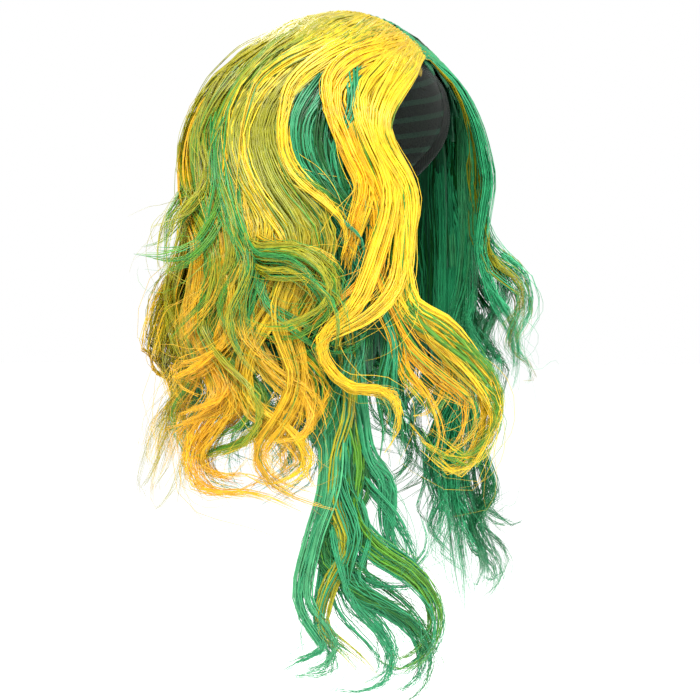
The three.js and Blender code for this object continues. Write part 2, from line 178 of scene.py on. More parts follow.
def net_material():
    """Black stretch net with fine crossing threads and green rows of track."""
    material, nodes, links, shader = new_material("cap_net", 0.8, 0.3)
    threads = nodes.new("ShaderNodeTexVoronoi")
    threads.feature = "DISTANCE_TO_EDGE"
    threads.inputs["Scale"].default_value = 1
    links.new(stretched_lie(nodes, links, (260, 110)), threads.inputs["Vector"])
    from_thread = threads.outputs["Distance"]
    thread, hole, track = (0.030, 0.045, 0.036), (0.006, 0.010, 0.008), (0.016, 0.060, 0.036)
    net = colour_between(nodes, links, from_thread, (0.04, thread), (0.2, hole))
    add_relief(nodes, links, shader, from_thread, 0.5, 0.0006, invert=True)
    tracks = nodes.new("ShaderNodeTexWave")
    tracks.bands_direction = "Z"
    tracks.inputs["Scale"].default_value = 28
    tracks.inputs["Distortion"].default_value = 0.4
    links.new(nodes.new("ShaderNodeTexCoord").outputs["Object"], tracks.inputs["Vector"])
    rows = colour_between(nodes, links, tracks.outputs["Fac"], (0.72, (0, 0, 0)), (0.8, track))
    together = nodes.new("ShaderNodeVectorMath")
    links.new(net, together.inputs[0])
    links.new(rows, together.inputs[1])
    links.new(together.outputs["Vector"], shader["Base Color"])
    return material


cap = round_sheet(
    "cap_net", columns=96, rows=32, turn_of=lambda u: 360 * u - 180,
    depth_of=lambda turn, v: (edge_depth(turn) - band_width - gap) * (1 - v) ** 2,
    out_of=lambda turn, v: cap_wall, wall=cap_wall,
)
cap.data.materials.append(net_material())
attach(cap, "root")
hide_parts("cap")


# Edge band. A narrow black elastic, knitted with fine ribs across it. It is sewn on all round the opening of
# the cap and binds its edge.
def band_material():
    """Black elastic with fine ribs across its width, its grooves painted darker than the ribs as shade."""
    material, nodes, links, shader = new_material("cap_band", 0.7, 0.2)
    ribs = nodes.new("ShaderNodeTexWave")
    ribs.bands_direction = "X"
    ribs.inputs["Scale"].default_value = 90
    ribs.inputs["Distortion"].default_value = 0.6
    links.new(stretched_lie(nodes, links, (1, 1)), ribs.inputs["Vector"])
    # The grooves between the ribs are painted darker, as painted shade.
    shaded_groove, rib = (0.006, 0.010, 0.008), (0.028, 0.042, 0.034)
    links.new(colour_between(nodes, links, ribs.outputs["Fac"], (0, shaded_groove), (1, rib)), shader["Base Color"])
    add_relief(nodes, links, shader, ribs.outputs["Fac"], 0.4, 0.0005)
    return material


band = round_sheet(
    "edge_band", columns=144, rows=4, turn_of=lambda u: 360 * u - 180,
    depth_of=lambda turn, v: edge_depth(turn) - band_width * v,
    out_of=lambda turn, v: cap_wall, wall=cap_wall,
)
band.data.materials.append(band_material())
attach(band, "root")
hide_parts("edge_band")


# Under hair of the wearer's right. Green synthetic fibre on tracks, sewn on in rows from above the ear round
# to the nape. It hangs under the top hair, shows between its locks and ends in front in a long curled tail.
drop = 0.480  # from the crown down to the longest tips
loft = 0.030  # how far the styled waves stand off the cap
under_coat = 0.0035  # thickness of the under hair where it lies on the cap
top_coat = 0.005  # thickness of the combed top hair
under_middle = cap_wall + gap + under_coat / 2
top_middle = cap_wall + 2 * gap + under_coat + top_coat / 2
coat_out = top_middle - 0.0022  # the top hair's mass lies a little under its drawn strands
coat_overlap = 0.0002  # how much further out it lies at the sides, where two masses meet
coat_wall = 0.0015
coat_rows = 26
stray_room = 0.011  # how far stray strands may leave the box of the solids
combed = 0.55  # how far strands that lie side by side shine as one surface
fibre = 0.00042  # half the thickness of a drawn strand, which stands for a bundle of real fibres
guide_steps = 200
parting_back, parting_front = -58, 49  # where the parting ends, in degrees from upright
tones = {  # the colour, from 0 to 255, at shares of the way from root to tip
    "yellow": [(0, (180, 154, 22)), (0.15, (208, 180, 30)), (0.5, (216, 180, 22)), (1, (226, 186, 28))],
    "gold": [(0, (186, 152, 16)), (0.3, (216, 168, 12)), (0.7, (228, 168, 12)), (1, (230, 172, 22))],
    "olive": [(0, (160, 144, 22)), (0.15, (150, 142, 20)), (0.35, (140, 140, 20)), (1, (160, 156, 28))],
    # The shaded tone is olive turning to gold with painted shade: it is darker through its upper middle,
    # where the side and back hair lie less lit.
    "shaded": [(0, (168, 148, 20)), (0.18, (142, 138, 18)), (0.4, (134, 138, 22)), (0.62, (198, 158, 18)),
               (1, (226, 168, 18))],
    "lime": [(0, (158, 146, 24)), (0.12, (128, 138, 28)), (0.32, (74, 130, 30)), (1, (88, 146, 40))],
    "sprig": [(0, (160, 146, 24)), (0.15, (128, 138, 30)), (0.35, (50, 132, 52)), (1, (54, 144, 70))],
    "green": [(0, (32, 118, 74)), (0.3, (38, 132, 84)), (1, (44, 144, 96))],
    "mint": [(0, (60, 144, 92)), (1, (76, 160, 108))],
    "bright": [(0, (38, 136, 88)), (0.3, (50, 158, 104)), (1, (64, 172, 118))],
    "deep": [(0, (10, 58, 20)), (0.5, (16, 82, 30)), (1, (34, 120, 54))],
}


def looked_up(values, shares, wanted):
    """Points, directions or colours that are known at the shares, read at the wanted shares."""
    return np.stack([np.interp(wanted, shares, column) for column in values.T], -1)


def linear(colour):
    """A colour given from 0 to 255 as the light it stands for."""
    share = np.asarray(colour, float) / 255
    return np.where(share <= 0.04045, share / 12.92, ((share + 0.055) / 1.055) ** 2.4)


def tone_along(tone, share):
    """The colour of a tone at a share of the way from root to tip."""
    places, colours = zip(*tones[tone])
    return looked_up(linear(colours), places, share)


def smooth_curve(points, samples):
    """A smooth curve through the points, at so many even steps of its own parameter."""
    points = np.asarray(points, float)
    ends = np.vstack([2 * points[0] - points[1], points, 2 * points[-1] - points[-2]])
    at = np.linspace(0, len(points) - 1, samples)
    start = np.minimum(at.astype(int), len(points) - 2)
    t = (at - start)[:, None]
    a, b, c, d = (ends[start + i] for i in range(4))
    return 0.5 * (2 * b + (c - a) * t + (2 * a - 5 * b + 4 * c - d) * t**2 + (3 * b - a - 3 * c + d) * t**3)


def eased(values, reach):
    """The same values with each averaged over its neighbours."""
    kernel = np.hanning(2 * reach + 3)[1:-1]
    kernel /= kernel.sum()
    padded = np.pad(values, ((reach, reach), (0, 0)), mode="edge")
    return np.stack([np.convolve(column, kernel, "valid") for column in padded.T], -1)


def new_lock(width, tone, strands, bends, mixed=None, **ways):
    """A lock so many millimetres wide, with its tone, its number of drawn strands and its bends. A bend gives
    the turn round the cap in degrees, negative on the wearer's right, the drop in hundredths of the whole
    drop, and the lift as a share of the loft. Mixed is a second tone and its share. The other ways are
    wander, how far its wisps leave each other; spread, how wide its tip fans out; gather, up to what share of
    its length it is drawn together and to what part of its width; curl, where its ringlet starts, its radius
    in millimetres and its windings; phase, where they start; beneath, for a root under others and off the
    parting; beside, how many thinner locks run with it; and flying, how many single strands have left it."""
    lock = {"width": width, "tone": tone, "strands": strands, "bends": bends, **ways}
    if mixed:
        lock["mixed"], lock["share"] = mixed
    return lock


def lock_guide(bends, middle):
    """The middle line of a lock in even steps, with the directions across it and out from the cap."""
    path = smooth_curve(bends, 2 * guide_steps)
    turn, depth, out = path[:, 0], path[:, 1] / 100 * drop, middle + path[:, 2] * loft
    line = place(turn, depth, out)
    outward = place(turn, depth, out + 0.001) - line
    travelled = np.concatenate([[0], np.cumsum(np.linalg.norm(np.diff(line, axis=0), axis=1))])
    even = np.linspace(0, travelled[-1], guide_steps)
    line, outward = looked_up(line, travelled, even), looked_up(outward, travelled, even)
    line = eased(line, 3)
    along = np.gradient(line, axis=0)
    along /= np.linalg.norm(along, axis=1, keepdims=True)
    across = np.cross(outward, along)
    across /= np.linalg.norm(across, axis=1, keepdims=True)
    off = np.cross(along, across)
    return line, across, off


def parting_point(slant, out):
    """A point on the parting, which runs over the crown from front to back, at a slant in degrees from
    upright."""
    slant = np.clip(slant, parting_back, parting_front)
    return place(np.where(slant > 0, 0, 180), crown_rise * (1 - np.cos(np.radians(slant))), out)


def over_the_cap(path, out):
    """The path, with each point above the widest level that is nearer the cap than out pushed out to it."""
    centre = np.array([0, 0, -crown_rise])
    girth = np.array([cap_half_width, cap_half_depth, crown_rise]) + out
    away = path - centre
    near = np.linalg.norm(away / girth, axis=1)
    pushed = np.where(away[:, 2] > 0, np.maximum(1, 1 / near), 1)
    return centre + away * pushed[:, None]


def ringlet(lock, share, phase, size):
    """How far a curled lock winds to the side and outwards, in metres, at each share of its length."""
    start, radius, winds = lock.get("curl", (0, 0, 0))
    wound = np.clip((share - start) / (1 - start), 0, 1)
    grown = radius / 1000 * size * np.clip(wound / 0.35, 0, 1) ** 1.3
    angle = 2 * math.pi * winds * wound + phase
    return grown * (np.cos(angle) - math.cos(phase) * (1 - wound)), grown * (0.7 + np.sin(angle)) * 0.8


def lock_strands(rng, lock, middle, rings, parted, thickness=0.010):
    """Paths, flat sides, thicknesses and colours of the strands of one lock. It is made of wisps that wander
    a little from each other, each a bundle of strands that draws together towards its tip, with a few strands
    astray. Parted hair has its roots spread evenly along the parting."""
    line, across, off = lock_guide(lock["bends"], middle)
    calm = eased(line, 22)
    wave = line - calm
    steps = np.linspace(0, 1, guide_steps)
    half_width, half_thickness = lock["width"] / 2000, thickness / 2
    wisp_width = 2.6
    astray_share = 0.08
    root_share = 0.2  # how much of the length bends away to the parting
    wisps = max(3, round(lock["width"] / wisp_width))
    each = max(3, round(lock["strands"] / wisps))
    wander = lock.get("wander", 1.0)
    spread = lock.get("spread", 1.3)
    gathered, held = lock.get("gather", (0.5, 1))
    root_slant = math.degrees(math.asin(np.clip(-line[0, 1] / (cap_half_depth + middle), -1, 1)))
    root_reach = np.clip(math.degrees(half_width * 3.4 / cap_half_depth), 7, 16)
    paths, sides, widths, colours = [], [], [], []
    hand = -np.sign(across[0, 1])
    for wisp in range(wisps):
        angle, radius = rng.uniform(0, 2 * math.pi), math.sqrt(rng.uniform(0, 1))
        a, b = math.cos(angle) * radius, math.sin(angle) * radius
        a = 0.5 * a + 0.5 * (2 * (wisp + 0.5) / wisps - 1)
        swing = 1 + 0.14 * rng.normal() * wander
        shift = 0.018 * rng.normal() * wander
        end = rng.uniform(0.84, 1.0)
        beats = rng.uniform(0.8, 2.6, 4)
        phases = rng.uniform(0, 2 * math.pi, 4)
        drifts = 0.0030 * wander * rng.normal(size=4)
        winding, size = 0.35 * rng.normal() + lock.get("phase", 0), rng.uniform(0.8, 1.15)
        tone = lock["tone"]
        if "mixed" in lock and rng.uniform() < lock["share"]:
            tone = lock["mixed"]
        bundle = 0.62 * (half_width + half_thickness) / math.sqrt(wisps)
        for _ in range(each):
            astray = rng.uniform() < astray_share
            reach = end * rng.uniform(0.88, 1.0)
            share = np.linspace(0, 1, rings) ** 0.96 * reach
            share[1] *= 0.3
            look = np.clip(share + shift, 0, 1)
            side, proud = looked_up(across, steps, look), looked_up(off, steps, look)
            fan = np.interp(share, [0, 0.12, 0.3, 0.5, 0.85, 1], [1.7, 1.5, 1.15, 1, 1, spread])
            fan *= np.interp(share, [0, 0.15, gathered, gathered + 0.15, 1], [1, held, held, 1, 1])
            lift = np.interp(share, [0, 0.1, 0.35, 1], [0.25, 0.4, 1, 1])
            drift, rise = (
                sum(drifts[i] * np.sin(2 * math.pi * beats[i] * share + phases[i]) for i in pair) * share**0.8
                for pair in ((0, 1), (2, 3))
            )
            twist = rng.uniform(0, 2 * math.pi) + share * rng.normal() * 2.2
            tight = bundle * math.sqrt(rng.uniform(0.02, 1)) * np.interp(
                share, [0, 0.15, 0.4, 0.8, 1], [1.9, 1.7, 1.1, 0.75, 0.3])
            loose = 0.0
            if astray:
                loose = rng.uniform(0.004, 0.011)
            fuzz_side, fuzz_off = (
                loose * np.sin(2 * math.pi * (rng.uniform(0.6, 2.6) * share + rng.uniform())) * share
                for _ in range(2)
            )
            curl_side, curl_off = ringlet(lock, share, winding, size)
            sideways = a * half_width * fan + drift + np.cos(twist) * tight + fuzz_side + curl_side
            outwards = (b * half_thickness + np.sin(twist) * tight) * lift + rise * lift
            outwards = outwards + np.abs(fuzz_off) + curl_off
            swung = swing + 0.05 * rng.normal()
            path = looked_up(calm, steps, look) + swung * looked_up(wave, steps, look)
            path += side * sideways[:, None] + proud * outwards[:, None]
            if parted and not lock.get("beneath"):
                slant = root_slant + root_reach * (0.75 * a * hand + 0.55 * rng.uniform(-1, 1))
                root = parting_point(slant, middle + rng.uniform(-0.0005, 0.001))
                kept = np.clip(1 - share / root_share, 0, 1) ** 1.5
                path += kept[:, None] * (root - path[0])
                path = over_the_cap(path, middle + rng.uniform(-0.0012, 0.0016))
                path[0] -= 0.003 * proud[0]
            own = tone
            if "mixed" in lock and rng.uniform() < 0.5 * lock["share"]:
                own = lock["mixed"]
            paths.append(path)
            sides.append(side)
            widths.append((0.6, 0.6) if astray else (rng.uniform(1.3, 1.85), 0.7))
            colours.append(tone_along(own, share) * math.exp(0.09 * rng.normal()))
    return paths, sides, widths, colours


def companions(rng, lock, count):
    """Thinner locks that run beside a lock and leave it here and there, to fill it out."""
    found = []
    for _ in range(count):
        turn_off, drop_off = rng.normal(0, 3.5), rng.normal(0, 1.2)
        bends = []
        for place_in, (turn, fallen, lift) in enumerate(lock["bends"]):
            grown = place_in / (len(lock["bends"]) - 1)
            bends.append((
                turn + turn_off * grown + rng.normal(0, 1.6) * grown,
                max(0.5, fallen + drop_off * grown + rng.normal(0, 0.7) * grown),
                lift * rng.uniform(0.75, 1.1),
            ))
        width, strands = 0.62 * lock["width"], round(0.4 * lock["strands"])
        found.append({**lock, "bends": bends, "width": width, "strands": strands})
    return found


def flyaways(rng, lock, middle, rings, count):
    """Single fine strands that have come away from a lock and hang in wide loops of their own, given as the
    strands of a lock are."""
    line, across, off = lock_guide(lock["bends"], middle)
    line = eased(line, 12)
    steps = np.linspace(0, 1, guide_steps)
    paths, sides, widths, colours = [], [], [], []
    for _ in range(count):
        start, end = rng.uniform(0.3, 0.6), rng.uniform(0.85, 1.0)
        look = np.linspace(start, end, rings)
        gone = np.linspace(0, 1, rings) ** 1.3
        stray = lock["width"] / 2000 + rng.uniform(0.008, 0.024)
        hand = rng.choice((-1, 1))
        loops = [np.sin(rng.uniform(3, 7) * gone + rng.uniform(0, 6)) for _ in range(2)]
        sideways = hand * stray * gone * (0.6 + 0.6 * loops[0])
        outwards = 0.6 * stray * gone * (0.3 + loops[1])
        side, proud = looked_up(across, steps, look), looked_up(off, steps, look)
        path = looked_up(line, steps, look) + side * sideways[:, None] + proud * outwards[:, None]
        paths.append(path)
        sides.append(side)
        widths.append((0.45, 0.45))
        colours.append(tone_along(lock["tone"], look) * rng.uniform(0.9, 1.15))
    return paths, sides, widths, colours


def strand_tubes(name, paths, sides, widths, colours):
    """One piece of all the strands, each a closed three-sided tube that lies flat along its lock and thins to
    its tip. The attribute hair_tone holds the colours, with each edge of a tube a little lighter or darker.
    Strands past the box of the solids are drawn in, so that none leaves it by more than stray_room."""
    paths, sides, widths, colours = (np.asarray(v, float) for v in (paths, sides, widths, colours))
    low, high = (np.array([float(v) for v in corner]) for corner in cad_box)
    inside = np.clip(paths, low, high)
    paths = inside + stray_room * np.tanh((paths - inside) / stray_room)
    count, rings = paths.shape[:2]
    along = np.gradient(paths, axis=1)
    along /= np.linalg.norm(along, axis=2, keepdims=True) + 1e-12
    aside = sides - along * np.sum(sides * along, axis=2, keepdims=True)
    aside /= np.linalg.norm(aside, axis=2, keepdims=True) + 1e-12
    over = np.cross(along, aside)
    taper = np.interp(np.linspace(0, 1, rings), [0, 0.3, 0.7, 1], [1.35, 1.15, 0.9, 0.2])
    thin = fibre * taper[None, :, None]
    wide, deep = (thin * widths[:, i, None, None] for i in (0, 1))
    corner_angles = (math.pi / 2, math.pi * 7 / 6, math.pi * 11 / 6)
    corners = np.stack(
        [paths + math.cos(angle) * wide * aside + math.sin(angle) * deep * over for angle in corner_angles], 2
    )
    facing = np.stack([
        0.55 * math.cos(angle) * aside + (0.55 * math.sin(angle) + combed) * over for angle in corner_angles
    ], 2)
    facing /= np.linalg.norm(facing, axis=3, keepdims=True)
    first = np.arange(count)[:, None, None] * rings * 3
    ring = np.arange(rings - 1)[None, :, None] * 3
    corner = first + ring + np.arange(3)[None, None, :]
    beside = first + ring + (np.arange(3)[None, None, :] + 1) % 3
    quads = np.stack([corner, beside, beside + 3, corner + 3], -1)
    roots = np.stack([first[:, 0, 0] + i for i in (2, 1, 0)], -1)
    tips = np.stack([first[:, 0, 0] + 3 * (rings - 1) + i for i in (0, 1, 2)], -1)
    corners_of_faces = np.concatenate([quads.reshape(-1), roots.reshape(-1), tips.reshape(-1)])
    sizes = np.concatenate([np.full(quads.size // 4, 4), np.full(2 * count, 3)])
    starts = np.concatenate([[0], np.cumsum(sizes)[:-1]])
    mesh = bpy.data.meshes.new(name)
    mesh.vertices.add(corners.size // 3)
    mesh.vertices.foreach_set("co", corners.reshape(-1))
    mesh.loops.add(len(corners_of_faces))
    mesh.loops.foreach_set("vertex_index", corners_of_faces.astype(np.int32))
    mesh.polygons.add(len(sizes))
    mesh.polygons.foreach_set("loop_start", starts.astype(np.int32))
    mesh.polygons.foreach_set("loop_total", sizes.astype(np.int32))
    mesh.update(calc_edges=True)
    mesh.validate()
    tone = mesh.attributes.new("hair_tone", "FLOAT_COLOR", "POINT")
    edge_light = np.random.default_rng(count).permuted(np.tile([0.86, 1.0, 1.15], (count, 1)), axis=1)
    rgba = np.ones((count, rings, 3, 4))
    rgba[..., :3] = colours[:, :, None, :] * edge_light[:, None, :, None]
    tone.data.foreach_set("color", rgba.reshape(-1).astype(np.float32))
    mesh.shade_smooth()
    shine = [
        np.stack([facing[:, :-1, i], facing[:, :-1, j], facing[:, 1:, j], facing[:, 1:, i]], 2)
        for i, j in ((0, 1), (1, 2), (2, 0))
    ]
    under = 0.4 * shine[1] - np.stack([over[:, :-1], over[:, :-1], over[:, 1:], over[:, 1:]], 2)
    shine[1] = under / np.linalg.norm(under, axis=3, keepdims=True)
    end_faces = np.zeros((6 * count, 3))
    mesh.normals_split_custom_set(np.concatenate([np.stack(shine, 2).reshape(-1, 3), end_faces]))
    return put_in_scene(name, mesh)


def fibre_material(name):
    """Satin synthetic fibre: the strand's own colour, a little lighter and darker along its length."""
    material, nodes, links, shader = new_material(name, 0.36)
    shader["Specular IOR Level"].default_value = 0.4
    tone = nodes.new("ShaderNodeAttribute")
    tone.attribute_name = "hair_tone"
    place_on = nodes.new("ShaderNodeTexCoord")
    streaks = nodes.new("ShaderNodeTexNoise")
    streaks.inputs["Scale"].default_value = 140
    streaks.inputs["Detail"].default_value = 2
    spread = nodes.new("ShaderNodeMapRange")
    spread.inputs["From Min"].default_value = 0.3
    spread.inputs["From Max"].default_value = 0.7
    spread.inputs["To Min"].default_value = 0.8
    spread.inputs["To Max"].default_value = 1.15
    shade = nodes.new("ShaderNodeVectorMath")
    shade.operation = "SCALE"
    links.new(place_on.outputs["Object"], streaks.inputs["Vector"])
    links.new(streaks.outputs["Fac"], spread.inputs["Value"])
    links.new(tone.outputs["Color"], shade.inputs[0])
    links.new(spread.outputs["Result"], shade.inputs["Scale"])
    links.new(shade.outputs["Vector"], shader["Base Color"])
    return material


def shaded_coat_material(name, light, dark):
    """The mass of fibre under the drawn strands: fine dark and light lines running down the hair. Both
    colours are given darker than the strands on top, as painted shade deep in the hair between them.
    """
    material, nodes, links, shader = new_material(name, 0.5)
    lines = nodes.new("ShaderNodeTexNoise")
    lines.inputs["Scale"].default_value = 1
    lines.inputs["Detail"].default_value = 4
    links.new(stretched_lie(nodes, links, (170, 5)), lines.inputs["Vector"])
    shades = (0.35, linear(dark)), (0.65, linear(light))
    links.new(colour_between(nodes, links, lines.outputs["Fac"], *shades), shader["Base Color"])
    add_relief(nodes, links, shader, lines.outputs["Fac"], 0.6, 0.0008)
    return material


def ragged_end(share):
    """The depth at each turn of a lower edge that is cut unevenly at a share of the drop."""
    return lambda turn: drop * share + (0.012 * math.sin(0.9 * turn) + 0.006 * math.sin(2.3 * turn))


def hair_coat(name, node, material, span, out, bottom, flare=0.0, first=0.0):
    """The mass of fibre on the cap between the turns of its span, down to its bottom at each turn, where it
    stands off by its flare. It starts at the crown, or at first as a share of the way down."""
    flare_depth = 0.15  # below the cap's edge

    def depth_of(turn, v):
        return bottom(turn) * (first + (1 - first) * (1 - v)) ** 1.6

    def out_of(turn, v):
        fall = max(0.0, depth_of(turn, v) - edge_depth(turn)) / flare_depth
        return out + min(1.2, fall) * (flare + 0.0012 * math.sin(0.55 * turn + 9 * v))

    turned = span[1] - span[0]
    column_turn = 2.5
    columns = max(6, round(abs(turned) / column_turn))
    piece = round_sheet(name, columns, coat_rows, lambda u: span[0] + u * turned, depth_of, out_of, coat_wall)
    piece.data.materials.append(material)
    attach(piece, "root")
    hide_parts(node)


def hair_locks(name, node, slot, material, locks, middle, seed, rings=24, parted=True, **ways):
    """All the drawn locks of one body of hair as one piece."""
    rng = np.random.default_rng(seed)
    strands = []
    for lock in locks:
        strands += zip(*flyaways(rng, lock, middle, rings, lock.get("flying", 4)))
        for one in [lock] + companions(rng, lock, lock.get("beside", 0)):
            strands += zip(*lock_strands(rng, one, middle, rings, parted, **ways))
    piece = strand_tubes(name, *zip(*strands))
    piece.data.materials.append(material)
    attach(piece, "root")
    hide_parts(node)


def hanging_bends(rng, turn, root, end, sway, lift, wave=0.092):
    """Bends of a plain lock: it leaves the row it is sewn in and waves more and more on its way down."""
    count = max(3, round((end - root) / 100 * drop / (wave / 2)))
    bends = [(turn, root, 0), (turn, root + 4, 0.03)]
    for bend in range(1, count + 1):
        share = bend / count
        side = 1 if bend % 2 else -1
        bends.append((
            turn + side * sway * (0.3 + 0.7 * share) * rng.uniform(0.7, 1.3),
            root + 4 + (end - root - 4) * share + rng.normal(0, 0.8),
            lift * share**0.8 + 0.09 * side * share * rng.uniform(0.5, 1.4),
        ))
    return bends


def under_locks(side, turns, end, seed, lift=0.2):
    """Plain green locks of the under hair, one at each turn. The side is -1 for the wearer's right and 1 for
    the left."""
    rng = np.random.default_rng(seed)
    row_rise = 0.035  # how far above the cap's edge the locks are sewn on
    locks = []
    for turn in turns:
        root = 100 * (float(edge_depth(turn)) - row_rise) / drop
        tip = end + 5 * rng.uniform(-1, 1)
        bends = hanging_bends(rng, side * turn, root, tip, 4, lift)
        curl = (0.55, rng.uniform(8, 13), rng.uniform(1, 1.8))
        phase = rng.uniform(0, 6)
        locks.append(new_lock(26, "deep", 44, bends, mixed=("green", 0.3), flying=2, curl=curl, phase=phase))
    return locks


tails_right = [
    new_lock(26, "deep", 120, [
        (-60, 13, 0), (-64, 28, 0.1), (-63, 44, 0.15), (-57, 50.5, 0.1), (-58, 56.5, 0.15),
        (-54, 61.5, 0.25), (-50, 66.5, 0.35), (-53, 71, 0.45), (-61, 74, 0.55), (-56, 79, 0.7),
        (-44, 82.5, 0.75), (-31, 85, 0.75), (-24, 88.5, 0.75), (-23, 91.5, 0.7), (-29, 94, 0.65),
    ], mixed=("lime", 0.3), flying=8),
    new_lock(20, "green", 90, [
        (-54, 30, 0.05), (-57, 44, 0.1), (-54, 62.5, 0.1), (-54, 67, 0.25), (-56, 72.5, 0.35),
        (-54, 78, 0.5), (-50, 83.5, 0.55), (-41, 87.5, 0.65), (-36, 91, 0.7), (-39, 94, 0.7),
        (-50, 95, 0.7), (-60, 94, 0.75),
    ], flying=8),
    new_lock(20, "green", 64, [
        (-58, 40, 0.1), (-52, 55.5, 0.4), (-56, 62.5, 0.45), (-57, 69.5, 0.55), (-52, 75.5, 0.6),
        (-58, 81.5, 0.75), (-60, 87, 0.8), (-50, 91, 0.8), (-40, 95, 0.8),
    ], mixed=("olive", 0.5), flying=6),
    new_lock(18, "green", 64, [
        (-56, 40, 0.05), (-52, 56, 0.3), (-48, 64, 0.35), (-50, 70.5, 0.4), (-42, 75.5, 0.55),
        (-28, 79.5, 0.7), (-20, 84.5, 0.75), (-22, 89.5, 0.8), (-32, 92.5, 0.8), (-41, 90.5, 0.7),
        (-38, 87, 0.7),
    ], mixed=("lime", 0.5), flying=6, spread=1.6),
    new_lock(18, "deep", 80, [
        (-60, 44, 0.1), (-55, 58, 0.4), (-54, 66.5, 0.45), (-48, 73.5, 0.55), (-50, 80, 0.7),
        (-38, 83.5, 0.75), (-27, 87.5, 0.8), (-24, 93, 0.85), (-34, 96, 0.85), (-42, 93.5, 0.8),
    ], mixed=("green", 0.5), flying=6, spread=1.6),
    new_lock(14, "green", 60, [
        (-60, 48, 0.15), (-57, 65, 0.5), (-62, 74.5, 0.7), (-65, 83, 0.85), (-56, 89.5, 0.9),
        (-69, 92.5, 1), (-77, 95.5, 1.1),
    ], mixed=("mint", 0.3), flying=8),
    new_lock(10, "mint", 30, [
        (-60, 45, 0.15), (-58, 66.5, 0.25), (-58, 72, 0.35), (-61, 80, 0.65), (-62, 86.5, 0.75),
        (-56, 91.5, 0.75), (-64, 93, 0.9), (-77, 92.5, 1.05),
    ], mixed=("green", 0.5)),
    new_lock(12, "green", 40, [
        (-56, 40, 0.1), (-52, 59.5, 0.15), (-50, 63, 0.25), (-45, 66.5, 0.3), (-34, 71, 0.45),
        (-28, 76.5, 0.55), (-31, 80, 0.55), (-38, 81.5, 0.5),
    ]),
    new_lock(11, "green", 34, [
        (-58, 48, 0.1), (-55, 70, 0.3), (-55, 75.5, 0.45), (-47, 80, 0.55), (-35, 81.5, 0.65),
        (-23, 81, 0.65), (-18, 79.5, 0.55),
    ]),
    new_lock(11, "green", 34, [
        (-54, 44, 0.1), (-46, 61, 0.35), (-36, 67, 0.35), (-37, 74, 0.45), (-30, 78.5, 0.6),
        (-22, 75.5, 0.6), (-24, 71, 0.5),
    ]),
]
green_fibre = fibre_material("hair_deep_green")
# The coat colours are darker than the strands' tones: painted shade deep in the under hair.
green_shaded_coat = shaded_coat_material("under_coat", (22, 110, 68), (4, 40, 24))
hair_coat(
    "under_coat_right", "under_hair_right", green_shaded_coat, (-180, -48), under_middle,
    ragged_end(0.5), flare=0.004, first=0.2,
)
hair_locks(
    "under_locks_right", "under_hair_right", "hair_deep_green", green_fibre,
    under_locks(-1, (52, 62, 74, 88, 102, 118, 134, 150, 166), end=66, seed=11) + tails_right,
    under_middle, 12, rings=21, parted=False, thickness=0.008,
)


# Under hair of the wearer's left. The same green fibre, sewn on in the same rows. It ends in a tail that
# hangs close in and breaks into flicks.
# Painted light: the tail locks take the lighter bright tone in place of green, so they show lighter than
# their shaded place under the hair.
tails_left = [
    new_lock(20, "bright", 70, [
        (66, 20, 0), (64, 34, 0.1), (60, 44, 0), (52, 54, -0.1), (47, 62, -0.25), (43, 69, -0.3),
        (46, 76, -0.1), (50, 82, 0.1), (47, 87, 0.2), (52, 91, 0.4),
    ], flying=8, beside=1),
    new_lock(22, "bright", 70, [
        (68, 30, 0.1), (60, 46, 0.2), (53, 56, 0.3), (48, 64, 0.4), (52, 72, 0.5), (48, 80, 0.6),
        (52, 88, 0.7),
    ], mixed=("mint", 0.3), flying=8, beside=1, curl=(0.55, 11, 1.8)),
    new_lock(20, "bright", 70, [
        (62, 36, 0.05), (54, 54, 0), (45, 61, -0.6), (40, 69, -0.9), (43, 77, -0.7), (47, 84, -0.4),
    ], flying=6, beside=1, curl=(0.6, 9, 1.5)),
    new_lock(12, "mint", 40, [
        (54, 50, 0), (47, 60, -0.2), (50, 68, 0.1), (52, 72, 0.6), (50, 74.5, 1.2), (46, 73.5, 1.7),
    ], mixed=("green", 0.5), beside=1),
    new_lock(10, "bright", 30, [
        (50, 60, -0.2), (44, 69, -0.25), (50, 76, 0.3), (54, 80, 0.8), (50, 84, 0.7), (46, 82, 0.3),
    ], beside=1),
    new_lock(12, "mint", 34, [
        (58, 48, 0.1), (50, 60, -0.1), (44, 68, 0), (46, 76, 0.5), (44, 82, 0.9), (40, 80, 1.2),
    ], mixed=("green", 0.5)),
]
hair_coat(
    "under_coat_left", "under_hair_left", green_shaded_coat, (60, 180), under_middle,
    ragged_end(0.5), flare=0.004, first=0.2,
)
hair_locks(
    "under_locks_left", "under_hair_left", "hair_deep_green", green_fibre,
    under_locks(1, (68, 80, 94, 108, 122, 136, 150, 166), end=66, seed=21) + tails_left,
    under_middle, 22, rings=21, parted=False, thickness=0.008,
)


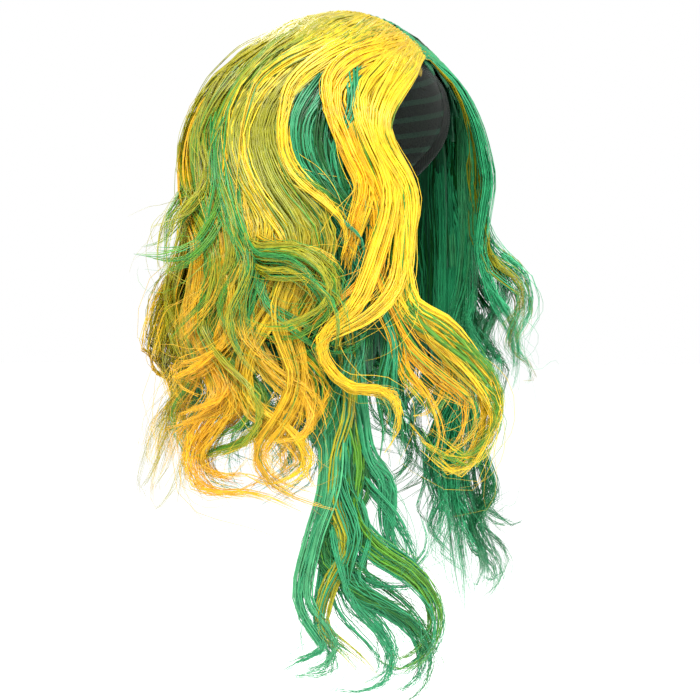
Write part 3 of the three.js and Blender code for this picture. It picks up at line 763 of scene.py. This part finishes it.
# Front hair of the wearer's right. Yellow synthetic fibre sewn along the parting, with deep green under it,
# combed down beside the front opening. It is heat set into loose ribbons that curl below the opening.
front_right = [
    new_lock(9, "yellow", 80, [
        (-9, 6, 0), (-27, 11, 0.1), (-38, 15.5, 0.15), (-39, 19.5, 0.25), (-29, 26.5, 0.3),
        (-30, 33, 0.35), (-33, 39.5, 0.5), (-43, 44, 0.75), (-60, 48, 0.95), (-58, 51, 0.85),
    ], wander=0.5),
    new_lock(9, "yellow", 76, [
        (-12, 5.7, 0), (-31, 12.5, 0.1), (-39, 19, 0.2), (-30, 26, 0.25), (-30, 34.5, 0.35),
        (-31, 40.5, 0.35), (-24, 43.5, 0.15), (-10, 47, 0.05), (-4, 52, 0.05), (-13, 57, -0.05),
        (-24, 58, -0.1),
    ], mixed=("lime", 0.3), wander=0.6),
    new_lock(9, "yellow", 80, [
        (-14, 5.5, 0), (-41, 12, 0.1), (-45, 16.5, 0.15), (-37, 24, 0.3), (-35, 28.5, 0.35),
        (-40, 35.5, 0.45), (-47, 42.5, 0.7), (-59, 47.5, 0.85), (-51, 53.5, 0.8), (-37, 54.5, 0.75),
        (-35, 59, 0.75), (-45, 65, 0.75),
    ], mixed=("gold", 0.3), wander=0.6),
    new_lock(14, "yellow", 70, [
        (-18, 6, 0), (-35, 13, 0.08), (-40, 20, 0.15), (-33, 27, 0.2), (-32, 35.5, 0.3), (-29, 42.5, 0.3),
        (-14, 46, 0.25), (0, 50, 0.35), (10, 54.5, 0.7), (9, 58, 0.75), (-4, 63, 0.45), (-18, 61, 0.15),
        (-25, 58, 0.1),
    ], mixed=("lime", 0.35), beside=2, gather=(0.45, 0.35)),
    new_lock(15, "yellow", 90, [
        (-21, 4.5, 0), (-54, 10, 0.1), (-58, 15, 0.15), (-51, 21, 0.25), (-45, 26, 0.35),
        (-49, 31.5, 0.35), (-52, 37, 0.35), (-49, 40, 0.35),
    ], mixed=("gold", 0.4), wander=0.7),
    new_lock(11, "gold", 60, [
        (-30, 4, 0), (-56, 12.5, 0.1), (-52, 19, 0.15), (-42, 27, 0.3), (-41, 33, 0.35),
        (-44, 38.5, 0.55), (-58, 44, 0.85), (-62, 48, 0.85),
    ], wander=0.7),
    new_lock(16, "yellow", 90, [
        (-32, 3.5, 0), (-70, 10.5, 0.1), (-76, 16.5, 0.2), (-72, 22.5, 0.3), (-57, 28, 0.4),
        (-51, 32, 0.4), (-54, 36.5, 0.35),
    ], mixed=("lime", 0.2), wander=0.7),
    new_lock(9, "mint", 44, [
        (-38, 8, -0.1), (-46, 9.5, 0), (-50, 15, 0.05), (-53, 20.5, 0.06), (-46, 27, -0.02),
        (-36, 31, -0.05), (-33, 33, -0.05),
    ], mixed=("green", 0.4), beneath=True),
    new_lock(22, "deep", 80, [
        (-50, 8.5, -0.1), (-61, 11.5, -0.03), (-69, 16.5, 0.08), (-66, 22.5, 0.15), (-54, 28.5, 0.2),
        (-45, 33.5, 0.2), (-50, 40, 0.25),
    ], mixed=("green", 0.25), beneath=True),
    new_lock(14, "deep", 60, [
        (-46, 9, -0.1), (-59, 12, -0.05), (-63, 18, 0.03), (-60, 23.5, 0.08), (-50, 28.5, 0.15),
        (-42, 33.5, 0.2),
    ], mixed=("green", 0.4), beneath=True),
    new_lock(16, "deep", 60, [
        (-56, 9, -0.1), (-67, 13.5, -0.03), (-71, 20.5, 0), (-64, 27.5, 0.1), (-58, 33.5, 0.2),
        (-61, 40, 0.3),
    ], mixed=("green", 0.3), beneath=True),
    new_lock(13, "yellow", 60, [
        (-13, 6, 0), (-32, 12.5, 0), (-39, 19, 0.08), (-31, 26.5, 0.12), (-31, 35, 0.18), (-22, 45, 0.2),
        (-9, 48.5, 0.25), (8, 54.5, 0.45), (8, 60, 0.55), (-8, 66, 0.4), (-18, 63, 0.2), (-26, 58.5, 0.1),
    ], mixed=("olive", 0.3), flying=8, gather=(0.5, 0.25)),
    new_lock(12, "gold", 50, [
        (-15, 5.5, 0), (-42, 12, 0), (-46, 18, 0.08), (-38, 27, 0.15), (-41, 36, 0.25), (-29, 46.5, 0.2),
        (-13, 51.5, 0.2), (1, 55.5, 0.4), (-2, 61.5, 0.4), (-13, 65.5, 0.2),
    ], mixed=("lime", 0.3), flying=8, gather=(0.5, 0.25)),
    new_lock(12, "gold", 50, [
        (-16, 5.5, 0), (-43, 12, -0.02), (-48, 18, 0.05), (-38, 28, 0.15), (-42, 38, 0.25),
        (-33, 46, 0.25), (-29, 51.5, 0.2), (-18, 55.5, 0.2), (-13, 61, 0.2), (-20, 64.5, 0.1),
    ], mixed=("lime", 0.4), flying=6, gather=(0.5, 0.25)),
    new_lock(12, "deep", 50, [
        (-52, 8.5, -0.1), (-60, 12, -0.05), (-64, 20, 0), (-54, 30, 0.05), (-44, 39, 0.15),
        (-34, 47, 0.25), (-35, 54, 0.2), (-31, 59.5, 0.1), (-35, 65, 0.1), (-43, 66.5, 0.2),
    ], mixed=("green", 0.4), flying=6, beneath=True),
]


def front_end(turn):
    """The depth at a turn where the mass of the front hair ends, near the hairline."""
    return float(edge_depth(turn)) - 0.004 + 0.012 * max(0, math.sin(0.5 * turn))


yellow_fibre = fibre_material("hair_yellow")
# The coat colours are darker than the strands' tones: painted shade deep in the yellow hair.
yellow_shaded_coat = shaded_coat_material("top_coat_yellow_shaded", (164, 138, 22), (92, 84, 14))
hair_coat(
    "front_coat_right", "front_hair_right", yellow_shaded_coat, (-75, -0.4), coat_out, front_end,
)
hair_locks("front_locks_right", "front_hair_right", "hair_yellow", yellow_fibre, front_right, top_middle, 31)


# Side hair of the wearer's right. Yellow and gold fibre mixed with green, sewn along the parting and combed
# down over the ear. It is heat set into waves that turn into big curls at shoulder height.
side_right = [
    new_lock(13, "yellow", 80, [
        (-43, 2.5, 0), (-87, 9.5, 0.1), (-93, 15.5, 0.2), (-91, 26, 0.35), (-85, 33, 0.55),
        (-72, 35, 0.75), (-57, 36.5, 0.85), (-53, 41.5, 0.7),
    ], mixed=("sprig", 0.35), wander=0.7),
    new_lock(12, "olive", 80, [
        (-60, 1, 0), (-97, 10.5, 0.1), (-99, 17.5, 0.25), (-94, 27, 0.45), (-82, 36, 0.8), (-67, 37.5, 1),
        (-57, 42.5, 1.05), (-62, 48.5, 0.85),
    ], mixed=("sprig", 0.5), beside=1),
    new_lock(14, "olive", 80, [
        (-75, 1, 0), (-100, 11.5, 0.15), (-104, 20.5, 0.35), (-95, 29.5, 0.55), (-83, 37, 0.8),
        (-89, 44, 0.9), (-84, 49.5, 0.85), (-73, 53, 0.75),
    ], mixed=("sprig", 0.5), beside=1),
    new_lock(22, "olive", 120, [
        (-85, 1, 0), (-91, 7, 0.1), (-102, 14, 0.2), (-105, 20.5, 0.35), (-92, 31, 0.65), (-89, 36, 0.7),
        (-96, 42.5, 0.7), (-86, 50.5, 0.7),
    ], mixed=("lime", 0.35)),
    new_lock(20, "shaded", 120, [
        (-70, 2, 0), (-90, 8.5, 0.1), (-99, 16, 0.3), (-93, 24, 0.4), (-81, 32, 0.45), (-89, 40, 0.6),
        (-88, 46.5, 0.7), (-75, 52, 0.75), (-62, 56, 0.85), (-63, 60.5, 0.85), (-73, 61.5, 0.9),
        (-84, 60, 0.9),
    ], mixed=("yellow", 0.4), flying=6),
    new_lock(18, "shaded", 110, [
        (-55, 2.5, 0), (-78, 9.5, 0.1), (-87, 17, 0.25), (-80, 25, 0.35), (-67, 33, 0.4), (-72, 43, 0.6),
        (-66, 52, 0.75), (-71, 57.5, 0.85), (-80, 62.5, 0.95), (-74, 67, 0.95), (-60, 69, 0.95),
        (-50, 69.5, 0.95),
    ], mixed=("lime", 0.2), flying=6),
    new_lock(11, "lime", 60, [
        (-82, 1.5, 0), (-116, 8, 0.15), (-126, 15, 0.25), (-101, 24, 0.4), (-89, 32.5, 0.65),
        (-79, 35, 0.95), (-65, 35, 1.1), (-55, 38.5, 1.1), (-56, 43, 1.05), (-70, 46, 1.05),
        (-85, 43.5, 1), (-87, 39.5, 0.95),
    ], mixed=("olive", 0.4)),
    new_lock(12, "sprig", 60, [
        (-66, 2, 0), (-95, 9.5, 0.1), (-102, 17.5, 0.25), (-97, 25, 0.4), (-86, 34, 0.6),
        (-80, 41.5, 0.7), (-66, 45, 0.7), (-53, 48, 0.65), (-43, 46, 0.6),
    ], mixed=("olive", 0.4)),
    new_lock(16, "shaded", 90, [
        (-76, 2, 0), (-97, 9.5, 0.1), (-106, 17.5, 0.3), (-99, 26, 0.45), (-87, 33, 0.5),
        (-93, 41.5, 0.6), (-100, 48.5, 0.7), (-89, 55.5, 0.7), (-103, 60, 0.85), (-105, 65, 0.9),
        (-89, 66.5, 0.85), (-82, 62.5, 0.8),
    ], mixed=("gold", 0.3), flying=6),
    new_lock(16, "shaded", 90, [
        (-60, 2.5, 0), (-84, 10, 0.1), (-93, 18, 0.25), (-85, 26.5, 0.4), (-72, 34, 0.45),
        (-74, 41.5, 0.55), (-84, 48.5, 0.65), (-85, 55.5, 0.7), (-69, 59.5, 0.8), (-62, 64.5, 0.85),
        (-75, 68, 0.9), (-86, 65.5, 0.9),
    ], mixed=("yellow", 0.5), flying=6),
    new_lock(15, "shaded", 80, [
        (-50, 3, 0), (-75, 10.5, 0.1), (-82, 17, 0.2), (-74, 25, 0.3), (-60, 32.5, 0.4), (-64, 41, 0.5),
        (-70, 47, 0.55), (-60, 54, 0.5), (-70, 61, 0.65), (-66, 68, 0.7), (-53, 70.5, 0.65),
    ], mixed=("lime", 0.2), flying=6),
    new_lock(13, "shaded", 60, [
        (-64, 2, 0), (-90, 10, 0.1), (-98, 18.5, 0.3), (-90, 27, 0.4), (-78, 35, 0.5), (-86, 44.5, 0.65),
        (-73, 52.5, 0.7), (-63, 55.5, 0.7), (-66, 61, 0.8),
    ], mixed=("sprig", 0.3), flying=6),
]
hair_coat(
    "side_coat_right", "side_hair_right", yellow_shaded_coat, (-121, -74), coat_out + coat_overlap,
    lambda turn: float(edge_depth(turn)) + 0.012,
)
hair_locks("side_locks_right", "side_hair_right", "hair_yellow", yellow_fibre, side_right, top_middle, 41)


# Back hair of the wearer's right. Olive and yellow fibre sewn along the parting and swept back. It is heat
# set, with thin loops that stand off behind the ear and curled ends at shoulder height.
def plain_top_locks(side, turns, tone, seed, mixed, share):
    """Plain wavy locks of the top hair, one at each turn. The side is -1 for the wearer's right and 1 for the
    left."""
    rng = np.random.default_rng(seed)
    locks = []
    for turn in turns:
        waves = hanging_bends(rng, side * turn, 12, 72 + 5 * rng.uniform(-1, 1), 8, 0.7)
        start = side * (60 + 0.6 * (turn - 60))
        bends = [(start, 1, 0), (side * turn, 7, 0.03)] + waves[1:]
        curl = (0.42, rng.uniform(11, 16), rng.uniform(1.4, 2.4))
        phase = rng.uniform(0, 6)
        locks.append(new_lock(28, tone, 96, bends, mixed=(mixed, share), curl=curl, phase=phase))
    return locks


back_right = [
    new_lock(22, "olive", 130, [
        (-95, 0.5, 0), (-113, 5.5, 0.06), (-139, 10.5, 0.12), (-139, 18.5, 0.32), (-128, 24.5, 0.5),
        (-104, 32.5, 0.7), (-100, 39, 0.75), (-105, 45, 0.75), (-92, 51.5, 0.75), (-81, 56, 0.7),
        (-85, 60.5, 0.75), (-105, 63.5, 0.95), (-98, 67.5, 0.9), (-82, 68.5, 0.85),
    ], mixed=("lime", 0.4)),
    new_lock(10, "olive", 34, [
        (-134, 4, 0), (-146, 12.5, 0.12), (-142, 19, 0.35), (-125, 25, 0.6), (-118, 30, 1.25),
        (-115, 36.5, 1.5), (-107, 39, 1.35),
    ], mixed=("lime", 0.4), beside=1),
    new_lock(9, "lime", 34, [
        (-110, 2.5, 0), (-114, 12.5, 0.15), (-103, 21, 0.45), (-98, 27, 0.6), (-101, 33.5, 0.9),
        (-110, 36.5, 1.45), (-123, 35.5, 1.9),
    ], mixed=("sprig", 0.4), beside=1),
    new_lock(9, "olive", 34, [
        (-122, 3, 0), (-122, 12.5, 0.25), (-107, 22.5, 0.55), (-110, 27.5, 0.85), (-117, 30.5, 1.5),
        (-124, 31.5, 1.9),
    ], mixed=("lime", 0.3), beside=1),
    new_lock(16, "shaded", 80, [
        (-105, 3, 0), (-109, 9.5, 0.1), (-113, 19, 0.35), (-100, 31, 0.6), (-99, 39.5, 0.75),
        (-106, 44.5, 1.1), (-111, 47.5, 1.35), (-101, 50.5, 1.15),
    ], mixed=("lime", 0.3), flying=6),
    new_lock(14, "shaded", 70, [
        (-98, 4, 0), (-97, 12.5, 0.15), (-101, 25, 0.45), (-93, 37.5, 0.65), (-92, 46.5, 0.75),
        (-102, 51, 1.1), (-109, 52.5, 1.35), (-101, 55.5, 1.15), (-94, 54, 0.95),
    ], mixed=("gold", 0.4)),
    new_lock(16, "shaded", 80, [
        (-128, 2.5, 0), (-140, 10.5, 0.12), (-142, 18, 0.32), (-126, 26, 0.5), (-110, 34, 0.65),
        (-112, 44, 0.75), (-90, 54, 0.75), (-100, 58.5, 1.1), (-109, 60.5, 1.45), (-100, 63.5, 1.25),
    ], mixed=("gold", 0.5), flying=6),
    new_lock(18, "shaded", 90, [
        (-118, 2, 0), (-130, 10, 0.15), (-134, 18, 0.35), (-120, 27, 0.5), (-106, 35.5, 0.6),
        (-110, 45, 0.7), (-94, 54.5, 0.75), (-103, 62.5, 1.05), (-98, 67, 1.1), (-80, 67.5, 1.05),
        (-60, 71, 1.05),
    ], mixed=("gold", 0.5), flying=6),
    new_lock(14, "shaded", 70, [
        (-112, 3, 0), (-122, 10, 0.15), (-124, 17, 0.3), (-110, 26, 0.45), (-100, 35, 0.55),
        (-118, 44, 0.75), (-107, 51.5, 0.8), (-117, 57.5, 0.95), (-106, 63, 0.95), (-93, 61, 0.9),
    ], mixed=("lime", 0.3), flying=6),
    new_lock(13, "olive", 60, [
        (-124, 3.5, 0), (-132, 14, 0.2), (-128, 26, 0.4), (-125, 34, 0.6), (-134, 41, 0.8),
        (-119, 48.5, 0.85), (-101, 53, 0.85), (-109, 58.5, 0.95),
    ], mixed=("gold", 0.3), flying=6),
    new_lock(34, "olive", 56, [
        (-112, 1.5, 0), (-134, 9, 0.06), (-141, 15.5, 0.22), (-135, 23, 0.38), (-124, 32, 0.45),
    ], mixed=("shaded", 0.4)),
]
hair_coat(
    "back_coat_right", "back_hair_right", yellow_shaded_coat, (-179.6, -120), coat_out,
    ragged_end(0.36), flare=0.004,
)
hair_locks(
    "back_locks_right", "back_hair_right", "hair_yellow", yellow_fibre,
    back_right + plain_top_locks(-1, (134, 147, 160, 171), "yellow", 52, "olive", 0.4), top_middle, 51,
)


# Front hair of the wearer's left. Green synthetic fibre sewn along the parting and combed close past the
# front opening. It is heat set into loops that stand out below it.
front_left = [
    new_lock(13, "bright", 90, [
        (6, 6.5, 0), (20, 9, 0.05), (32, 13, 0.1), (36, 19, 0.25), (37, 23.5, 0.4), (35, 29, 0.25),
        (33, 34, 0.15), (37, 40, 0.45), (43, 46, 1.1), (44, 51, 1.15), (40, 54.5, 0.9),
    ], flying=6, wander=0.6),
    new_lock(11, "bright", 60, [
        (10, 6, 0), (27, 10, 0.05), (40, 17.5, 0.15), (43, 23.5, 0.25), (39, 31, 0.25), (38, 34.5, 0.55),
        (45, 38, 1.35), (46, 42.5, 1.5), (43, 47, 1.05), (47, 50, 1.5), (47, 53.5, 1.7), (44, 54, 1.3),
    ], mixed=("olive", 0.3), flying=6, beside=1),
    new_lock(14, "bright", 80, [
        (18, 4.5, 0), (42, 12.5, 0.1), (54, 21.5, 0.25), (50, 31, 0.15), (43, 39.5, -0.1),
        (41, 44.5, -0.3), (42, 48.5, 0.05), (45, 51, 0.7), (47, 51, 1.1), (46, 49, 1.15),
    ], mixed=("mint", 0.3), flying=6, beside=1),
    new_lock(10, "mint", 44, [
        (12, 5.5, 0), (34, 12, 0.1), (44, 20, 0.2), (42, 28, 0.2), (40, 34, 0.5), (44, 38.5, 1),
        (46, 43, 0.9), (44, 46.5, 0.5), (43, 49.5, 0.9), (46, 52, 1.4),
    ], mixed=("green", 0.5), flying=6, beside=1),
    new_lock(20, "bright", 70, [
        (30, 4, 0), (44, 7, 0.02), (60, 13, 0.05), (68, 22, 0.15), (64, 32, 0.3), (70, 44, 0.5),
        (64, 54, 0.6), (70, 62, 0.7),
    ], mixed=("mint", 0.2), curl=(0.6, 12, 1.5)),
    new_lock(22, "bright", 80, [
        (52, 2, 0), (64, 7, 0.03), (74, 15, 0.08), (76, 26, 0.2), (70, 36, 0.4), (76, 46, 0.6),
        (70, 56, 0.7), (75, 66, 0.8),
    ], mixed=("deep", 0.3), curl=(0.55, 13, 1.6)),
    new_lock(24, "bright", 90, [
        (34, 3, 0), (58, 12, 0.05), (66, 24, 0.2), (60, 36, 0.4), (65, 46, 0.6), (58, 56, 0.7),
        (63, 65, 0.8), (58, 70, 0.8),
    ], mixed=("deep", 0.3), curl=(0.6, 12, 1.4)),
    new_lock(20, "bright", 90, [
        (26, 3.5, 0), (50, 11, 0.05), (60, 20, 0.15), (56, 30, 0.3), (60, 40, 0.4), (54, 50, 0.5),
        (58, 58, 0.6),
    ], mixed=("deep", 0.3), curl=(0.6, 10, 1.2)),
]
left_fibre = fibre_material("hair_green")
# The coat colours are darker than the strands' tones: painted shade deep in the green hair.
left_shaded_coat = shaded_coat_material("top_coat_green_shaded", (26, 108, 70), (10, 60, 36))
hair_coat("front_coat_left", "front_hair_left", left_shaded_coat, (0.4, 75), coat_out, front_end)
hair_locks("front_locks_left", "front_hair_left", "hair_green", left_fibre, front_left, top_middle, 61)


# Side and back hair of the wearer's left. Green fibre sewn along the parting, combed down all round and heat
# set into long even waves.
hair_coat(
    "side_coat_left", "side_hair_left", left_shaded_coat, (74, 121), coat_out + coat_overlap,
    ragged_end(0.36), flare=0.004,
)
hair_locks(
    "side_locks_left", "side_hair_left", "hair_green", left_fibre,
    plain_top_locks(1, (78, 89, 100, 112), "green", 72, "deep", 0.35), top_middle, 71,
)
hair_coat(
    "back_coat_left", "back_hair_left", left_shaded_coat, (120, 179.6), coat_out,
    ragged_end(0.36), flare=0.004,
)
hair_locks(
    "back_locks_left", "back_hair_left", "hair_green", left_fibre,
    plain_top_locks(1, (124, 137, 149, 161, 172), "green", 82, "deep", 0.35), top_middle, 81,
)


# Floor and light. A plain pale floor well below the tips, a broad key light above and just left of the
# camera, a fill on its right and a light behind the crown.
floor_drop = 0.62
floor_half_size = 40
middle_height = -0.2
floor_maker = bmesh.new()
bmesh.ops.create_grid(floor_maker, x_segments=1, y_segments=1, size=floor_half_size)
floor_mesh = bpy.data.meshes.new("floor")
floor_maker.to_mesh(floor_mesh)
floor_maker.free()
floor = put_in_scene("floor", floor_mesh)
floor.location.z = -floor_drop
floor_material, _, _, floor_shader = new_material("floor", 0.9)
floor_shader["Base Color"].default_value = (0.92, 0.92, 0.92, 1)
floor_shader["Emission Color"].default_value = (1, 1, 1, 1)
floor_shader["Emission Strength"].default_value = 0.12
floor.data.materials.append(floor_material)


def add_light(name, towards, right, up, size, watts):
    """An area light so far from the middle of the wig towards the camera, to its right and up, aimed back."""
    light = bpy.data.lights.new(name, "AREA")
    light.shape = "DISK"
    light.size = size
    light.energy = watts
    lamp = put_in_scene(name, light)
    lamp.location = towards * towards_camera + right * camera_right + Vector((0, 0, up + middle_height))
    lamp.rotation_euler = (Vector((0, 0, middle_height)) - lamp.location).to_track_quat("-Z", "Y").to_euler()


add_light("key", towards=1.3, right=-0.2, up=1.3, size=0.5, watts=34)
add_light("fill", towards=1.3, right=1.2, up=0.3, size=1.0, watts=14)
add_light("crown", towards=-0.9, right=-0.4, up=1.2, size=0.6, watts=18)
world = bpy.data.worlds.new("studio")
world.use_nodes = True
world.node_tree.nodes["Background"].inputs["Color"].default_value = (1, 1, 1, 1)
world.node_tree.nodes["Background"].inputs["Strength"].default_value = 1.0
bpy.context.scene.world = world
bpy.context.scene.view_settings.view_transform = "Standard"
